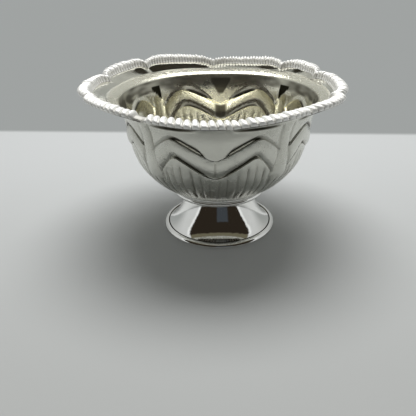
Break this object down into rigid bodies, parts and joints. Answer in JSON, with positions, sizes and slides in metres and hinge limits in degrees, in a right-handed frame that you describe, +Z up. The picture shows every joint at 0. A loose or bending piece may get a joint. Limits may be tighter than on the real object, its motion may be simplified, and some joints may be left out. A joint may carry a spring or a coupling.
{
  "type": "footed bowl",
  "caption": "Small footed silver bowl with a deep wall of stamped leaf panels, a scalloped flange and a gadrooned border.",
  "frame": {"origin": "on the table, under the middle of the whole box; the axis of the foot and the wall stands 1.2 mm towards +X and 0.25 mm towards +Y of it, because the rim is a little off centre", "axes": "+Z up through the bowl, -Y towards the viewer of the picture, +X to the viewer's right"},
  "size_m": [0.0618, 0.061, 0.0384],
  "materials": {
    "bowl_silver": "stamped silver sheet, softly polished, darker in the grooves",
    "border_silver": "bright polished cast silver",
    "collar_silver": "polished turned silver",
    "foot_silver": "mirror polished silver",
    "base_silver": "polished silver with fine turning lines"
  },
  "bodies": {
    "root": {"bowl_shell": "bowl_silver", "rim_border": "border_silver", "collar": "collar_silver", "foot_cone": "foot_silver", "base_ring": "base_silver"}
  },
  "joints": []
}
